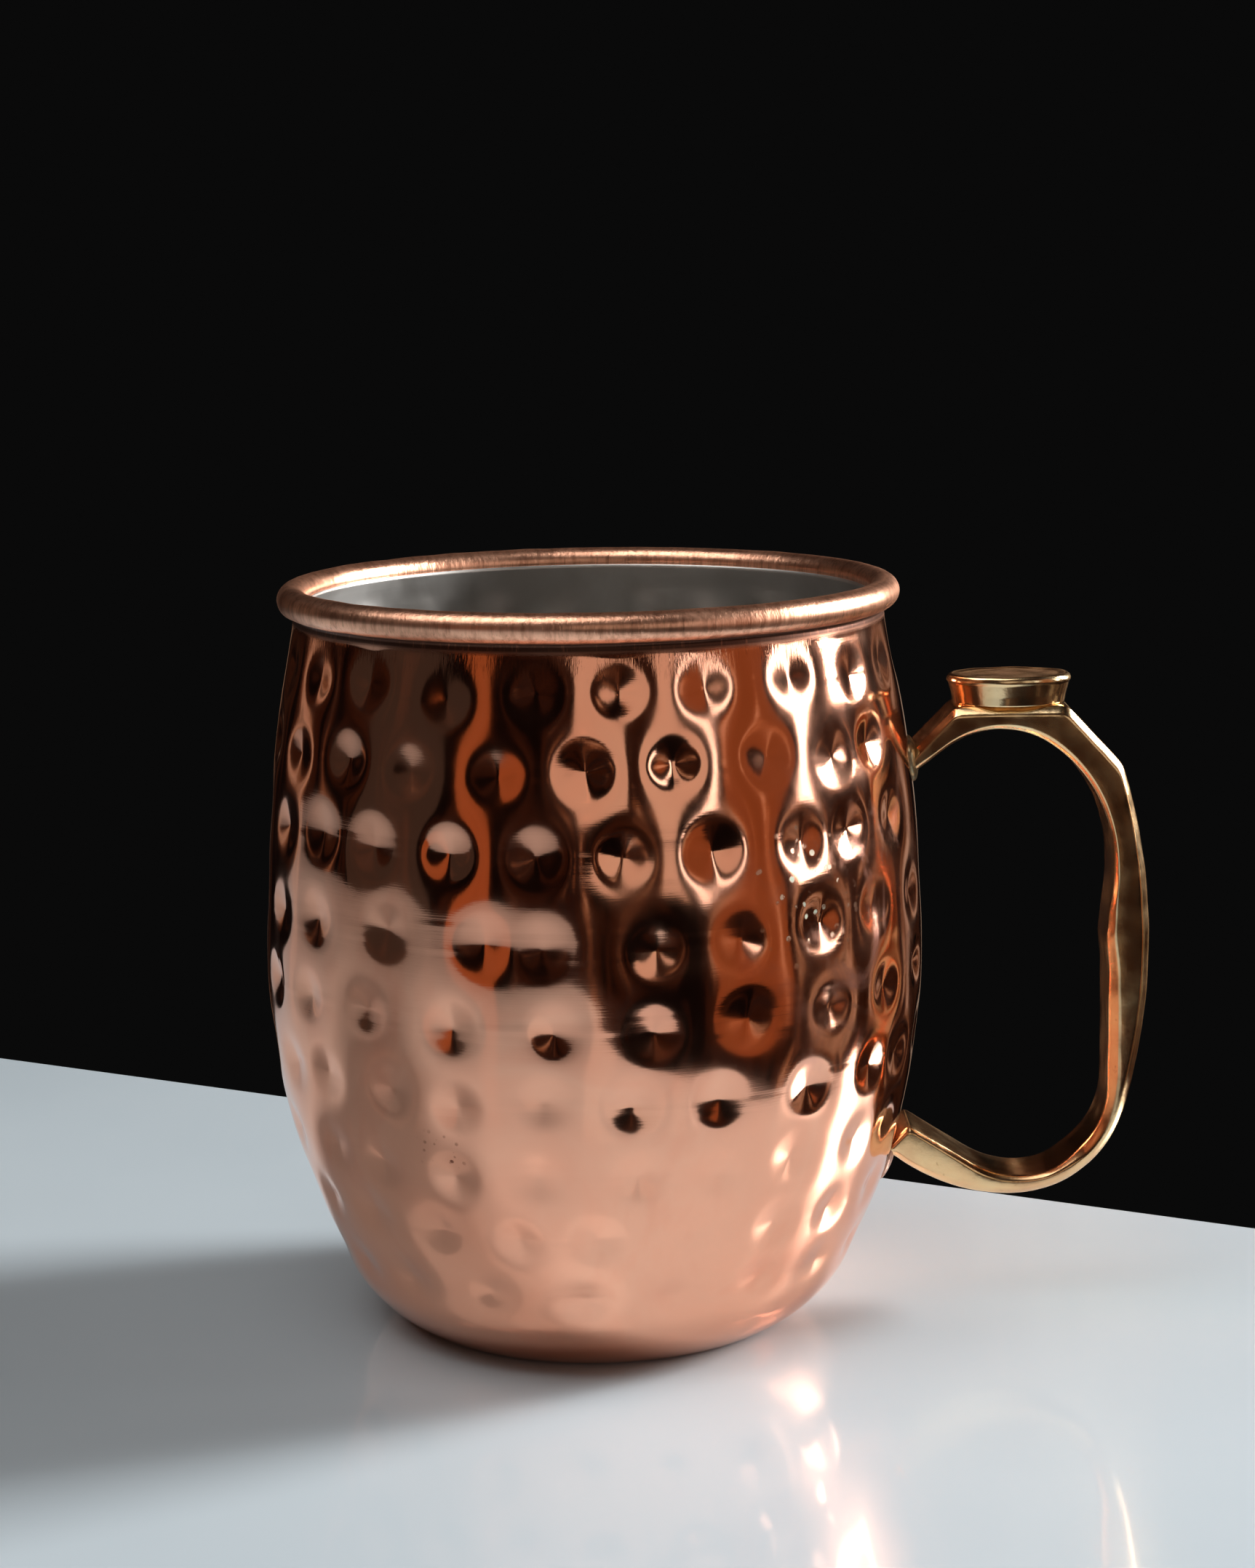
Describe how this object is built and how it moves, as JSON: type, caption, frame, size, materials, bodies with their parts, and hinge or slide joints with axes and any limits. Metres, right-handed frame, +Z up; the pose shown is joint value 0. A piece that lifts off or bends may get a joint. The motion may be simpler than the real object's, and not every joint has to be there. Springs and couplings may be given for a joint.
{
  "type": "mug",
  "caption": "Hammered copper mug with a bright metal lining, a rolled rim, and a cast brass handle topped by a round thumb rest.",
  "frame": {"origin": "centre of the flat base, on the mug's axis", "axes": "+Z up along the mug's axis, +X towards the handle"},
  "size_m": [0.1181, 0.088, 0.0996],
  "materials": {
    "copper": "polished copper, hammered, lightly tarnished",
    "lining": "bright nickel or tin, softly polished",
    "brass": "polished cast brass",
    "steel_wire": "plain drawn wire",
    "braze": "dull brazing metal, slightly green"
  },
  "bodies": {
    "root": {"copper_shell": "copper", "rim_wire": "steel_wire", "lining": "lining", "handle": "brass", "thumb_rest": "brass", "upper_braze": "braze", "lower_braze": "braze"}
  },
  "joints": []
}
